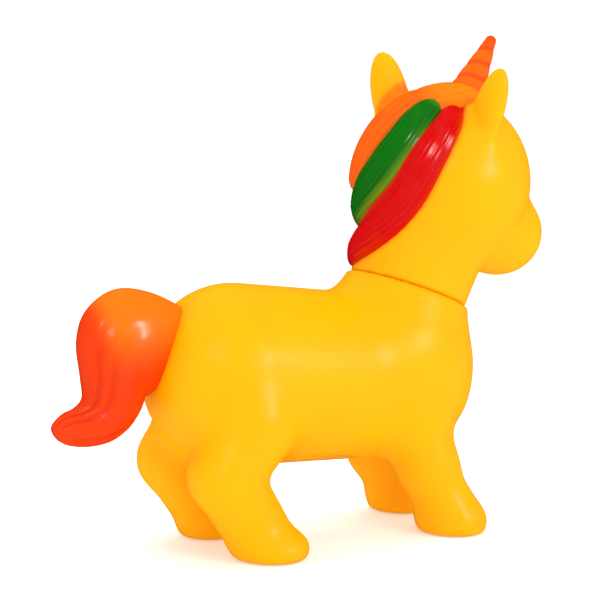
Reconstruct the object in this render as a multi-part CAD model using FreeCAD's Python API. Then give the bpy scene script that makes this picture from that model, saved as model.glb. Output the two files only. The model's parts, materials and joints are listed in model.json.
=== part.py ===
import FreeCAD, Part
import math
import os
from FreeCAD import Matrix, Rotation, Vector

# A hollow soft-vinyl unicorn figure for parties.  Two thin mouldings, a body with four legs
# and a head, snap together at a turning neck joint.  A pull-out plug closes the filling hole
# in the belly.  Horn, ears, mane locks, tail and eyes are the painted or raised features.
#
# Design frame, in millimetres: x forwards, y to the animal's left, z up from the ground, with
# the animal's middle plane at y = 0.  FRAME_SHIFT then moves every part so that the origin is
# under the centre of the whole object, which the turned head and the tail make lopsided.

# ---- driving dimensions ------------------------------------------------------------------
FRAME_SHIFT = Vector(9.1, -2.0, 0.0)

WALL = 2.5                    # vinyl wall
SEAM_GAP = 0.3                # running gap at the neck seam and under the stopper flange
FIT = 0.08                    # radial clearance of the turning neck plug and of the stopper

# torso: a long rounded barrel, flattened from side to side
RUMP = Vector(-44.0, 0, 64.0)
RUMP_R = 33.5
CHEST = Vector(28.0, 0, 58.0)
CHEST_R = 31.0
TORSO_FLATNESS = 0.9

# neck joint: a round seam in a plane that leans forwards, about the axis the head turns on
NECK = Vector(34.0, 0, 91.0)
NECK_LEAN = 21.0              # degrees from vertical
NECK_R = 23.3
COLLAR_DROP = 26.0            # how far the collar cone reaches down into the torso
COLLAR_BASE_R = 30.0
HEAD_TURN = 22.0              # degrees to the left, as the head is stored
PLUG_R = 14.0
PLUG_FLANGE_R = 17.0
PLUG_FLANGE_T = 2.5

# leg sections, from the sole up: height, centre x, centre y, half length, half width
FORE_STEP = 5.5               # the left fore leg's sole stands this much further forwards
FORE_STEP_TOP = 46.0          # height at which that step has faded to none
FORE_LEG = [(0.0, 40.5, 21.0, 12.0, 13.0), (4.0, 40.5, 21.0, 13.3, 14.5),
            (9.0, 39.3, 20.8, 13.0, 13.5), (14.5, 36.3, 20.2, 11.4, 11.5),
            (26.0, 31.0, 18.0, 12.0, 11.5), (46.0, 26.0, 15.5, 14.5, 13.0),
            (58.0, 24.0, 14.0, 13.0, 12.0)]
HIND_LEG = [(0.0, -40.0, 22.0, 12.0, 12.5), (3.5, -40.3, 22.0, 13.5, 14.0),
            (8.5, -42.5, 21.0, 13.6, 12.8), (13.5, -46.0, 19.5, 12.4, 12.0),
            (21.0, -51.0, 19.5, 13.4, 12.2), (31.0, -56.0, 20.0, 14.0, 13.0),
            (41.0, -51.5, 18.5, 16.5, 15.0), (50.0, -46.5, 17.0, 18.5, 16.0),
            (62.0, -43.0, 14.0, 18.0, 14.0)]

# head, before it is turned: offsets from the centre of the skull
SKULL = Vector(50.5, 0, 132.5)
SKULL_R = (32.5, 34.5, 35.0)
CHEEK = Vector(15.0, 12.0, -16.5)
CHEEK_R = (19.5, 23.0, 20.0)
MUZZLE = Vector(35.5, 0, -21.0)
MUZZLE_R = (13.5, 12.0, 16.0)
NECK_FLARE_H = 26.0           # the head's neck widens to NECK_FLARE_R at this height
NECK_FLARE_R = 27.0

HORN_ROOT = Vector(6.0, 0, 28.0)
HORN_TIP = Vector(23.5, 0, 54.5)
HORN_ROOT_R = 8.6
HORN_TIP_R = 2.2

EAR_ROOT = Vector(-8.0, 20.0, 22.0)
EAR_TIP = Vector(-10.5, 27.8, 47.0)
EAR_HALF_WIDTH = 8.0
EAR_FLATNESS = 0.62
EAR_TOE_OUT = 20.0            # degrees each ear faces away from straight ahead

EYE = Vector(24.0, 19.0, 3.0)
EYE_R = (9.0, 5.0, 7.5)
PAINT = 0.4                   # thickness of the printed eyes

# mane locks: stations of offset from the skull's centre and half width; they lie on the head
LOCK_HEIGHT = 3.4             # how far a lock stands out of the head at its middle
FORELOCK = [((12.0, 0.5, 31.5), 3.5), ((5.0, -1.0, 35.3), 9.5), ((-4.0, -2.0, 36.5), 12.0),
            ((-11.0, -1.0, 33.8), 12.0), ((-15.5, 1.0, 30.0), 7.0)]
ORANGE_LOCK = [((-8.0, 9.5, 34.5), 6.5), ((-15.5, 12.0, 29.0), 9.0), ((-20.0, 18.0, 19.5), 10.0),
               ((-22.5, 22.5, 9.0), 9.5), ((-23.0, 26.0, 0.5), 7.0), ((-20.5, 28.5, -7.5), 2.8)]
GREEN_LOCK = [((-12.0, -3.0, 32.2), 4.0), ((-20.8, -1.5, 25.0), 6.4), ((-26.5, 0.5, 15.5), 7.0),
              ((-29.5, 6.5, 3.5), 7.2), ((-29.3, 17.2, -9.0), 6.2), ((-25.1, 26.2, -21.5), 2.4)]
RED_LOCK = [((-12.5, -10.4, 30.5), 3.8), ((-20.5, -12.5, 23.5), 5.5), ((-28.4, -10.4, 12.0), 7.1),
            ((-32.0, -5.2, -3.0), 7.7), ((-33.0, 8.0, -19.0), 8.0), ((-27.3, 21.6, -34.5), 2.8)]

# tail: ribs from the rump to the tip, each from its inner (lower) to its outer (upper) edge
# in the middle plane, as x and z, with the half thickness there
TAIL_RIBS = [((-69.0, 62.0), (-63.5, 89.5), 7.5), ((-76.0, 60.5), (-76.5, 95.8), 10.5),
             ((-78.7, 59.0), (-90.0, 97.6), 12.0), ((-80.0, 58.4), (-100.6, 91.0), 12.0),
             ((-80.8, 56.2), (-104.4, 80.5), 11.5), ((-82.5, 53.0), (-103.2, 67.5), 10.5),
             ((-86.5, 48.0), (-102.8, 60.2), 9.0), ((-93.0, 44.0), (-106.2, 56.8), 7.7),
             ((-101.0, 42.8), (-110.5, 55.3), 6.2), ((-108.5, 43.8), (-113.6, 52.8), 4.5),
             ((-112.6, 46.2), (-114.8, 50.2), 2.2)]

# filling hole and its plug, flush with the belly
HOLE_X = -7.0
HOLE_R = 9.0
RECESS_R = 12.4               # recess in the belly that takes the plug's flange
SEAT_Z = 33.0                 # flat seat round the hole, at the top of the recess
SEAT_H = 4.5                  # thickness of the wall round the hole, upwards from the seat
STOPPER_FLANGE_R = 12.0
STOPPER_DEPTH = 6.0
STOPPER_WALL = 2.0
SCOOP = Vector(4.6, 0, 28.9)  # finger scoops each side of a grip bar: offset along x, and height
SCOOP_R = (3.3, 6.0, 2.4)

OVAL_POINTS = 12              # points that each oval section is drawn through


# ---- helpers -----------------------------------------------------------------------------
def scaled(shape, sx, sy, sz):
    """shape, stretched about the origin."""
    m = Matrix()
    m.scale(sx, sy, sz)
    return shape.transformGeometry(m)


def ellipsoid(centre, radii, inset=0.0):
    """A solid ellipsoid; inset is taken off each radius."""
    ball = scaled(Part.makeSphere(1.0), *[r - inset for r in radii])
    ball.translate(centre)
    return ball


def mirrored_y(v):
    """v on the animal's other side."""
    return Vector(v.x, -v.y, v.z)


def ellipse_wire(centre, axis_a, axis_b, a, b):
    """A closed smooth oval with half sizes a along axis_a and b along axis_b."""
    points = []
    for i in range(OVAL_POINTS):
        angle = 2 * math.pi * i / OVAL_POINTS
        points.append(centre + axis_a * (a * math.cos(angle)) + axis_b * (b * math.sin(angle)))
    curve = Part.BSplineCurve()
    curve.interpolate(Points=points, PeriodicFlag=True)
    return Part.Wire([curve.toShape()])


def loft(wires):
    """A closed solid through the wires, smooth along its length."""
    return Part.makeLoft(wires, True, False)


def half_space(point, normal, size=400.0):
    """A large block on the side of the plane that normal points to."""
    block = Part.makeBox(size, size, size, Vector(-size / 2, -size / 2, 0))
    block.Placement = FreeCAD.Placement(point, Rotation(Vector(0, 0, 1), normal))
    return block


def neck_axis():
    """Unit vector of the head's turning axis, upwards."""
    lean = math.radians(NECK_LEAN)
    return Vector(math.sin(lean), 0, math.cos(lean))


def neck_point(height):
    """The point on the turning axis at that height above the seam plane."""
    return NECK + neck_axis() * height


def neck_cylinder(radius, low, high):
    """A cylinder on the turning axis between two heights above the seam plane."""
    return Part.makeCylinder(radius, high - low, neck_point(low), neck_axis())


def turned(shape):
    """shape with the head's stored turn applied about the neck axis."""
    out = shape.copy()
    out.rotate(NECK, neck_axis(), HEAD_TURN)
    return out


# ---- body --------------------------------------------------------------------------------
def barrel(inset):
    """The torso: two balls and the cone tangent to both, revolved and flattened."""
    r0 = (RUMP_R - inset)
    r1 = (CHEST_R - inset)
    along = CHEST - RUMP
    length = along.Length
    along.normalize()
    up = Vector(-along.z, 0, along.x)
    sine = (r0 - r1) / length
    cosine = math.sqrt(1 - sine * sine)
    back = RUMP - along * r0
    shoulder0 = RUMP + along * (r0 * sine) + up * (r0 * cosine)
    shoulder1 = CHEST + along * (r1 * sine) + up * (r1 * cosine)
    front = CHEST + along * r1
    diag = math.sqrt(0.5)
    profile = Part.Wire([
        Part.Arc(back, RUMP + (up - along) * (r0 * diag), shoulder0).toShape(),
        Part.makeLine(shoulder0, shoulder1),
        Part.Arc(shoulder1, CHEST + (up + along) * (r1 * diag), front).toShape(),
        Part.makeLine(front, back)])
    return scaled(Part.Face(profile).revolve(RUMP, along, 360), 1, TORSO_FLATNESS, 1)


def leg(sections, side, inset, step=0.0):
    """One leg through its level sections, its sole moved forwards by step; the cavity's leg stops
    a wall above the sole."""
    wires = []
    for z, cx, cy, rx, ry in sections:
        height = max(z, inset) if z < 1.0 else z
        ahead = step * max(0.0, 1 - z / FORE_STEP_TOP)
        wires.append(ellipse_wire(Vector(cx + ahead, side * cy, height), Vector(1, 0, 0),
                                  Vector(0, 1, 0), rx - inset, ry - inset))
    return loft(wires)


def collar(inset):
    """The cone between the torso and the neck seam."""
    return Part.makeCone(COLLAR_BASE_R - inset, NECK_R - inset, COLLAR_DROP,
                         neck_point(-COLLAR_DROP), neck_axis())


def body_form(inset):
    """Torso, collar and legs as one solid, all faces moved in by inset."""
    form = barrel(inset).fuse(collar(inset))
    for side, step in ((1, FORE_STEP), (-1, 0.0)):
        form = form.fuse(leg(FORE_LEG, side, inset, step))
        form = form.fuse(leg(HIND_LEG, side, inset))
    return form


def belly_cylinder(radius, low, high):
    """An upright cylinder on the filling hole's axis."""
    return Part.makeCylinder(radius, high - low, Vector(HOLE_X, 0, low))


def body_shell():
    """The hollow body, with the neck's inner lip and the seat for the stopper."""
    outer = body_form(0.0).cut(half_space(neck_point(-SEAM_GAP / 2), neck_axis()))
    inner = body_form(WALL).cut(half_space(neck_point(-SEAM_GAP / 2 - WALL), neck_axis()))
    inner = inner.cut(belly_cylinder(RECESS_R + WALL, 0.0, SEAT_Z + SEAT_H))
    shell = outer.cut(inner)
    shell = shell.cut(neck_cylinder(PLUG_R + FIT, -20.0, 5.0))
    shell = shell.cut(belly_cylinder(RECESS_R, 0.0, SEAT_Z))
    return shell.cut(belly_cylinder(HOLE_R, SEAT_Z, SEAT_Z + SEAT_H + 3.0))


def stopper():
    """Cup-shaped plug; its flange follows the belly and has two finger scoops."""
    seat = SEAT_Z - SEAM_GAP
    plug = belly_cylinder(HOLE_R - FIT, seat, seat + STOPPER_DEPTH)
    flange = belly_cylinder(STOPPER_FLANGE_R, 0.0, seat).common(barrel(0.0))
    pocket = belly_cylinder(HOLE_R - FIT - STOPPER_WALL, seat, seat + STOPPER_DEPTH)
    out = plug.fuse(flange).cut(pocket)
    for side in (1, -1):
        out = out.cut(ellipsoid(Vector(HOLE_X + side * SCOOP.x, SCOOP.y, SCOOP.z), SCOOP_R))
    return out


def tail_form(inset):
    """The tail through its ribs; each rib is an ellipse across the middle plane."""
    wires = []
    for (xi, zi), (xo, zo), half in TAIL_RIBS:
        low = Vector(xi, 0, zi)
        high = Vector(xo, 0, zo)
        across = high - low
        reach = across.Length / 2
        across.normalize()
        wires.append(ellipse_wire((low + high) / 2, across, Vector(0, 1, 0),
                                  max(reach - inset, 0.6), max(half - inset, 0.6)))
    return loft(wires)


def tail():
    """The tail, trimmed to lie face to face with the rump."""
    return tail_form(0.0).cut(body_form(0.0))


# ---- head --------------------------------------------------------------------------------
def head_form(inset):
    """Skull, cheeks, muzzle and neck as one solid, not yet turned or trimmed at the seam."""
    form = ellipsoid(SKULL, SKULL_R, inset)
    for cheek in (CHEEK, mirrored_y(CHEEK)):
        form = form.fuse(ellipsoid(SKULL + cheek, CHEEK_R, inset))
    form = form.fuse(ellipsoid(SKULL + MUZZLE, MUZZLE_R, inset))
    neck = Part.makeCone(NECK_R - inset, NECK_FLARE_R - inset, NECK_FLARE_H, NECK, neck_axis())
    return form.fuse(neck)


def head_shell(outer):
    """The hollow head with the flanged plug that snaps into the body's neck."""
    below = neck_axis() * -1
    shell = outer.cut(half_space(neck_point(SEAM_GAP / 2), below))
    inner = head_form(WALL).cut(half_space(neck_point(SEAM_GAP / 2 + WALL), below))
    shell = shell.cut(inner)
    flange_top = -SEAM_GAP / 2 - WALL - SEAM_GAP
    plug = neck_cylinder(PLUG_R, flange_top - PLUG_FLANGE_T, SEAM_GAP / 2 + WALL)
    flange = neck_cylinder(PLUG_FLANGE_R, flange_top - PLUG_FLANGE_T, flange_top)
    shell = shell.fuse(plug).fuse(flange)
    return shell.cut(neck_cylinder(PLUG_R - WALL, -20.0, SEAM_GAP + 2 * WALL))


def horn_form():
    """A tapered horn with a round tip, before its root is trimmed to the head."""
    root = SKULL + HORN_ROOT
    tip = SKULL + HORN_TIP
    axis = tip - root
    length = axis.Length
    axis.normalize()
    cone = Part.makeCone(HORN_ROOT_R, HORN_TIP_R, length, root, axis)
    return cone.fuse(Part.makeSphere(HORN_TIP_R, tip))


def ear_form(side):
    """A leaf-shaped ear: a pointed oval of revolution, flattened from front to back."""
    root = SKULL + Vector(EAR_ROOT.x, side * EAR_ROOT.y, EAR_ROOT.z)
    tip = SKULL + Vector(EAR_TIP.x, side * EAR_TIP.y, EAR_TIP.z)
    axis = tip - root
    length = axis.Length
    axis.normalize()
    w = EAR_HALF_WIDTH
    outline = Part.BSplineCurve()
    outline.interpolate([Vector(0.75 * w, 0, 0), Vector(w, 0, 0.32 * length),
                         Vector(0.72 * w, 0, 0.68 * length), Vector(0.3 * w, 0, 0.93 * length),
                         Vector(0, 0, length)])
    profile = Part.Wire([outline.toShape(), Part.makeLine(Vector(0, 0, length), Vector(0, 0, 0)),
                         Part.makeLine(Vector(0, 0, 0), Vector(0.75 * w, 0, 0))])
    form = Part.Face(profile).revolve(Vector(0, 0, 0), Vector(0, 0, 1), 360)
    form = scaled(form, EAR_FLATNESS, 1, 1)
    facing = math.radians(EAR_TOE_OUT * side)
    ahead = Vector(math.cos(facing), math.sin(facing), 0)
    ahead = ahead - axis * ahead.dot(axis)
    ahead.normalize()
    form.Placement = FreeCAD.Placement(root, Rotation(ahead, axis.cross(ahead), axis, "ZXY"))
    return form


def lock_form(stations):
    """One mane lock: ellipses across its run, flat against the head."""
    points = [Vector(*offset) for offset, half in stations]
    wires = []
    for i, (point, station) in enumerate(zip(points, stations)):
        run = points[min(i + 1, len(points) - 1)] - points[max(i - 1, 0)]
        run.normalize()
        outwards = Vector(point.x, point.y, point.z)
        outwards = outwards - run * outwards.dot(run)
        outwards.normalize()
        half = station[1]
        height = LOCK_HEIGHT * min(1.0, half / 6.0)
        wires.append(ellipse_wire(SKULL + point, outwards.cross(run), outwards, half, height))
    return loft(wires)


def eye_form(side, outer):
    """A thin printed eye that follows the surface of the head."""
    centre = SKULL + Vector(EYE.x, side * EYE.y, EYE.z)
    return ellipsoid(centre, EYE_R).common(head_form(-PAINT)).cut(outer)


def head_parts():
    """Every part of the head, before the stored turn."""
    outer = head_form(0.0)
    parts = {"head_shell": head_shell(outer)}
    horn = horn_form().cut(outer)
    forelock = lock_form(FORELOCK).cut(outer).cut(horn_form())
    orange = lock_form(ORANGE_LOCK).cut(outer).cut(lock_form(FORELOCK))
    green = lock_form(GREEN_LOCK).cut(outer).cut(lock_form(FORELOCK)).cut(lock_form(ORANGE_LOCK))
    red = lock_form(RED_LOCK).cut(outer).cut(lock_form(FORELOCK)).cut(lock_form(GREEN_LOCK))
    parts["horn"] = horn
    parts["forelock"] = forelock
    parts["mane_orange_lock"] = orange
    parts["mane_green_lock"] = green
    parts["mane_red_lock"] = red
    for name, side in (("left", 1), ("right", -1)):
        ear = ear_form(side).cut(outer)
        for lock in (ORANGE_LOCK, RED_LOCK):
            ear = ear.cut(lock_form(lock))
        parts["ear_" + name] = ear
        parts["eye_" + name] = eye_form(side, outer)
    return parts


# ---- write -------------------------------------------------------------------------------
def largest_solid(shape):
    """The shape's main solid, without slivers that a trim can leave."""
    return max(shape.Solids, key=lambda solid: solid.Volume)


def main():
    os.makedirs("parts", exist_ok=True)
    parts = {"body_shell": body_shell(), "tail": tail(), "belly_stopper": stopper()}
    for name, shape in head_parts().items():
        parts[name] = turned(shape)
    low = Vector(1e9, 1e9, 1e9)
    high = low * -1
    for name, shape in parts.items():
        part = largest_solid(shape)
        part.translate(FRAME_SHIFT)
        part.exportStep("parts/" + name + ".step")
        box = part.BoundBox
        low = Vector(min(low.x, box.XMin), min(low.y, box.YMin), min(low.z, box.ZMin))
        high = Vector(max(high.x, box.XMax), max(high.y, box.YMax), max(high.z, box.ZMax))
        print(name, "volume", round(part.Volume), "solids", len(shape.Solids), "valid", part.isValid(),
              [round(v, 1) for v in (box.XMin, box.YMin, box.ZMin, box.XMax, box.YMax, box.ZMax)])
    print("box", low, high, "centre", (low + high) / 2)


if __name__ == "__main__":
    main()
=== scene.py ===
import json
import logging
import math
from dataclasses import dataclass
from enum import Enum
from typing import Any, Callable, Sequence

import bpy
import numpy as np
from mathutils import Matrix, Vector


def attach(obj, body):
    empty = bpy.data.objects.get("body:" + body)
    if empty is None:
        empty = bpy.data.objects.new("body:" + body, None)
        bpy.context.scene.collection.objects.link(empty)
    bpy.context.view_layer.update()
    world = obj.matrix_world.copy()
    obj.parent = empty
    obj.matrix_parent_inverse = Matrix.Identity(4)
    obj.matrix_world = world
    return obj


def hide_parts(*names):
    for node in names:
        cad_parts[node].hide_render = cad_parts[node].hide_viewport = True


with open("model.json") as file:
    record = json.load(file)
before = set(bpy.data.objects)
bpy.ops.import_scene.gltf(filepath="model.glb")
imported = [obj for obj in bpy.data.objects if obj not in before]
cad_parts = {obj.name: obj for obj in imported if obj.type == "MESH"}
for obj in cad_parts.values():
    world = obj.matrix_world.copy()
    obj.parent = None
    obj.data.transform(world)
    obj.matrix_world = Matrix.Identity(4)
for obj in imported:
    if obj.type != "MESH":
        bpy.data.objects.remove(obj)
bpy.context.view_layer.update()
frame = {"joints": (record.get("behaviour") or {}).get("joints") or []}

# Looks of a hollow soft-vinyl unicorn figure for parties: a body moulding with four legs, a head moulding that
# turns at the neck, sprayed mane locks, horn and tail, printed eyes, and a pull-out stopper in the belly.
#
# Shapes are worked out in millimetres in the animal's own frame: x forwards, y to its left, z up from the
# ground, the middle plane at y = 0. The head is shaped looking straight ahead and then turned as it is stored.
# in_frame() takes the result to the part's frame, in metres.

Array = np.ndarray
Triple = tuple[float, float, float]
Material, Object = bpy.types.Material, bpy.types.Object

LOG = logging.getLogger("unicorn")
METRES = 0.001                         # one millimetre in metres
SLAB_ROWS = 8                          # rows of a grid that are worked out at a time

HINGE = next(joint for joint in frame["joints"] if joint["name"] == "head_turn")
NECK = np.array((34.0, 0.0, 91.0))     # centre of the neck seam in the animal's own frame
NECK_AXIS = np.array(HINGE["axis"], float) / np.linalg.norm(HINGE["axis"])
ANIMAL_SHIFT = np.array(HINGE["pos_m"]) / METRES - NECK
HEAD_TURN = math.radians(22.0)         # stored turn of the head, to the left


def unit(vector: Sequence[float]) -> Array:
    """Return the vector at length one."""
    out = np.asarray(vector, float)
    return out / np.linalg.norm(out)


def turn_matrix(axis: Array, angle: float) -> Array:
    """Return the rotation by angle, in radians, about axis."""
    x, y, z = axis
    cross = np.array(((0, -z, y), (z, 0, -x), (-y, x, 0)))
    return np.eye(3) + math.sin(angle) * cross + (1 - math.cos(angle)) * cross @ cross


STORED_TURN = turn_matrix(NECK_AXIS, HEAD_TURN)


def in_frame(points: Array) -> Array:
    """Take points from the animal's frame, in millimetres, to the part's frame, in metres."""
    return (points + ANIMAL_SHIFT) * METRES


def turned(points: Array) -> Array:
    """Turn points of the straight head to where the stored head has them."""
    return (points - NECK) @ STORED_TURN.T + NECK


def smoothstep(low: float, high: float, value: Array) -> Array:
    """Return 0 below low, 1 above high and a smooth rise between."""
    share = np.clip((value - low) / (high - low), 0.0, 1.0)
    return share * share * (3 - 2 * share)


# ---- solids as distance fields -------------------------------------------------------------------------------


@dataclass(frozen=True)
class Field:
    """A solid given by its signed distance in millimetres, negative inside."""

    distance: Callable[[Array], Array]

    def __call__(self, points: Array) -> Array:
        """Return the distance at each point."""
        return self.distance(points)

    def melted(self, other: "Field", radius: float) -> "Field":
        """Join with another solid, with a rounded web of that width between the two."""
        def joined(points: Array) -> Array:
            a, b = self(points), other(points)
            web = np.maximum(radius - np.abs(a - b), 0.0) / radius
            return np.minimum(a, b) - web * web * radius / 4
        return Field(joined)

    def __neg__(self) -> "Field":
        """Return everything outside the solid."""
        return Field(lambda points: -self(points))

    def kept(self, other: "Field", radius: float) -> "Field":
        """Keep what is also inside another solid, with the edge rounded by radius."""
        return -(-self).melted(-other, radius)

    def carved(self, other: "Field", radius: float) -> "Field":
        """Cut another solid away, with the edge rounded by radius."""
        return self.kept(-other, radius)

    def inset(self, wall: float) -> "Field":
        """Return the solid with its surface moved inwards by wall."""
        return Field(lambda points: self(points) + wall)

    def mirrored(self, side: int) -> "Field":
        """Return the solid of the animal's left as it is on one side, 1 for left and -1 for right."""
        return Field(lambda points: self(points * (1, side, 1)))

    def flattened(self, flatness: float, axis: int) -> "Field":
        """Squeeze the solid along one axis, towards zero on it."""
        scale = np.where(np.arange(3) == axis, 1 / flatness, 1.0)
        return Field(lambda points: self(points * scale) * flatness)

    def slope(self, points: Array) -> Array:
        """Return the outward unit normal at each point."""
        step = 0.02
        here = self(points)
        rise = np.stack([self(points + step * np.eye(3)[k]) - here for k in range(3)], -1)
        return rise / np.maximum(np.linalg.norm(rise, axis=-1, keepdims=True), 1e-9)

    def drape(self, points: Array, rounds: int = 6) -> Array:
        """Move points along the slope until they lie on the surface."""
        for _ in range(rounds):
            points = points - self(points)[..., None] * self.slope(points) * 0.9
        return points


def ellipsoid(centre: Sequence[float], radii: Sequence[float]) -> Field:
    """Make an ellipsoid from its centre and its half sizes."""
    middle, half = np.asarray(centre, float), np.asarray(radii, float)

    def distance(points: Array) -> Array:
        local = points - middle
        scaled = np.linalg.norm(local / half, axis=-1)
        gradient = np.linalg.norm(local / (half * half), axis=-1)
        return scaled * (scaled - 1) / np.maximum(gradient, 1e-9)
    return Field(distance)


def tapered(start: Sequence[float], end: Sequence[float], start_r: float, end_r: float) -> Field:
    """Make the hull of two balls, a rounded cone from start to end."""
    a, b = np.asarray(start, float), np.asarray(end, float)
    along = b - a
    length2 = along @ along
    drop = start_r - end_r
    side2 = length2 - drop * drop

    def distance(points: Array) -> Array:
        local = points - a
        y = local @ along
        z = y - length2
        x2 = ((local * length2 - y[..., None] * along) ** 2).sum(-1)
        y2, z2 = y * y * length2, z * z * length2
        k = math.copysign(drop * drop, drop) * x2
        beyond = np.sqrt(x2 + z2) / length2 - end_r
        before = np.sqrt(x2 + y2) / length2 - start_r
        beside = (np.sqrt(x2 * side2 / length2) + y * drop) / length2 - start_r
        out = np.where(np.sign(y) * side2 * y2 < k, before, beside)
        return np.where(np.sign(z) * side2 * z2 > k, beyond, out)
    return Field(distance)


def below(point: Sequence[float], normal: Sequence[float]) -> Field:
    """Make the half space on the far side of a plane from its normal."""
    origin, direction = np.asarray(point, float), unit(normal)
    return Field(lambda points: (points - origin) @ direction)


def rod(start: Sequence[float], end: Sequence[float], radius: float, edge: float = 0.5) -> Field:
    """Make a round rod with flat ends, its edges rounded by edge."""
    a, b = np.asarray(start, float), np.asarray(end, float)
    axis = unit(b - a)

    def around(points: Array) -> Array:
        local = points - a
        return np.linalg.norm(local - (local @ axis)[..., None] * axis, axis=-1) - radius
    return Field(around).kept(below(b, axis), edge).kept(below(a, -axis), edge)


@dataclass(frozen=True)
class Skin:
    """A mesh as points and faces, in the animal's frame."""

    points: Array
    faces: list[tuple[int, ...]]


def skin_of(solid: Field, low: Triple, high: Triple, step: float) -> Skin:
    """Wrap a solid in an even skin of four-sided faces.

    Each grid cell that the surface crosses gets one point, at the mean of the crossings on its edges. Each grid
    edge that the surface crosses gets one face, through the four cells round it. Two steps along the slope then
    bring the points onto the surface.

    Args:
        solid: The solid.
        low: Lowest corner of the box that holds it.
        high: Highest corner of that box.
        step: Size of a grid cell.

    Returns:
        The closed skin.
    """
    corner = np.asarray(low, float)
    counts = np.ceil((np.asarray(high, float) - corner) / step).astype(int) + 1
    lines = [corner[k] + step * np.arange(counts[k]) for k in range(3)]
    grid = np.stack(np.meshgrid(*lines, indexing="ij"), -1)
    value = np.concatenate([solid(slab) for slab in np.array_split(grid, max(1, counts[0] // SLAB_ROWS))])
    cells = counts - 1
    total, number = np.zeros((*cells, 3)), np.zeros(tuple(cells))
    crossings = []
    ahead = np.eye(3, dtype=int)
    for axis in range(3):
        first = value[tuple(slice(0, -1) if k == axis else slice(None) for k in range(3))]
        second = value[tuple(slice(1, None) if k == axis else slice(None) for k in range(3))]
        crossed = (first < 0) != (second < 0)
        index = np.argwhere(crossed)
        a, b = first[crossed], second[crossed]
        where = corner + index * step
        where[:, axis] += step * a / (a - b)
        u, v = [k for k in range(3) if k != axis]
        for du, dv in ((0, 0), (0, 1), (1, 0), (1, 1)):
            cell = index - du * ahead[u] - dv * ahead[v]
            inside = ((cell >= 0) & (cell < cells)).all(1)
            np.add.at(total, tuple(cell[inside].T), where[inside])
            np.add.at(number, tuple(cell[inside].T), 1)
        crossings.append((index, a < 0, axis, u, v))
    used = number > 0
    point_of = np.full(tuple(cells), -1)
    point_of[used] = np.arange(used.sum())
    points = total[used] / number[used][:, None]
    faces = []
    for index, leaving, axis, u, v in crossings:
        ring = []
        for du, dv in ((1, 1), (0, 1), (0, 0), (1, 0)):
            cell = index - du * ahead[u] - dv * ahead[v]
            ring.append(point_of[tuple(cell.T)])
        quads = np.stack(ring, 1)
        forwards = leaving if axis != 1 else ~leaving
        quads[~forwards] = quads[~forwards][:, ::-1]
        faces.append(quads)
    for _ in range(2):
        points = points - np.clip(solid(points), -step / 2, step / 2)[:, None] * solid.slope(points)
    return Skin(points, [tuple(quad) for quad in np.concatenate(faces).tolist()])


# ---- surfaces drawn as rings ---------------------------------------------------------------------------------


def smooth_path(stations: Array, count: int) -> Array:
    """Draw a smooth run through rows of numbers and return count rows evenly along it, both ends included."""
    rows = np.asarray(stations, float)
    ends = np.vstack([2 * rows[0] - rows[1], rows, 2 * rows[-1] - rows[-2]])
    place = np.linspace(0, len(rows) - 1, count)
    span = np.minimum(place.astype(int), len(rows) - 2)
    t = (place - span)[:, None]
    p0, p1, p2, p3 = (ends[span + k] for k in range(4))
    return 0.5 * (2 * p1 + (p2 - p0) * t + (2 * p0 - 5 * p1 + 4 * p2 - p3) * t ** 2
                  + (3 * p1 - p0 - 3 * p2 + p3) * t ** 3)


def ringed(rings: Array) -> Skin:
    """Close a stack of rings, [ring, place on the ring, coordinate], into a skin with a fan at each end.

    It faces outwards when the rings run anticlockwise as seen against the stack's direction.
    """
    rows, size = rings.shape[:2]
    points = np.vstack([rings.reshape(-1, 3), rings[0].mean(0), rings[-1].mean(0)])
    faces: list[tuple[int, ...]] = []
    for row in range(rows - 1):
        for k in range(size):
            nxt = (k + 1) % size
            faces.append((row * size + k, row * size + nxt, (row + 1) * size + nxt, (row + 1) * size + k))
    first, last = rows * size, rows * size + 1
    for k in range(size):
        nxt = (k + 1) % size
        faces.append((first, nxt, k))
        faces.append((last, (rows - 1) * size + k, (rows - 1) * size + nxt))
    return Skin(points, faces)


def with_tips(values: Array) -> Array:
    """Put numbers given as [ring, place on the ring] in the order of the points that ringed() makes."""
    return np.append(values.ravel(), (values[0].mean(), values[-1].mean()))


def ring_angles(count: int) -> Array:
    """Return that many angles evenly round a ring, as one row."""
    return np.linspace(0, 2 * math.pi, count, endpoint=False)[None, :]


def along_surface(solid: Field, run: Array) -> tuple[Array, Array]:
    """Return the outward and the sideways direction at each point of a run that lies on a solid."""
    ahead = np.gradient(run, axis=0)
    ahead /= np.linalg.norm(ahead, axis=1, keepdims=True)
    up = solid.slope(run)
    return up, np.cross(ahead, up)


def smoothed_rows(grid: Array, rounds: int = 4) -> Array:
    """Return a grid of vectors with each row drawn towards its two neighbours."""
    for _ in range(rounds):
        grid = np.concatenate([grid[:1], (grid[:-2] + 2 * grid[1:-1] + grid[2:]) / 4, grid[-1:]])
    return grid


def rounded_ends(share: Array, reach: float) -> Array:
    """Return a width factor that rounds both ends of a run over reach of its length."""
    near = np.minimum(share, 1 - share) / reach
    return np.sqrt(np.clip(1 - (1 - np.clip(near, 0, 1)) ** 2, 0.0004, 1))


# ---- shader sums ---------------------------------------------------------------------------------------------


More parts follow.
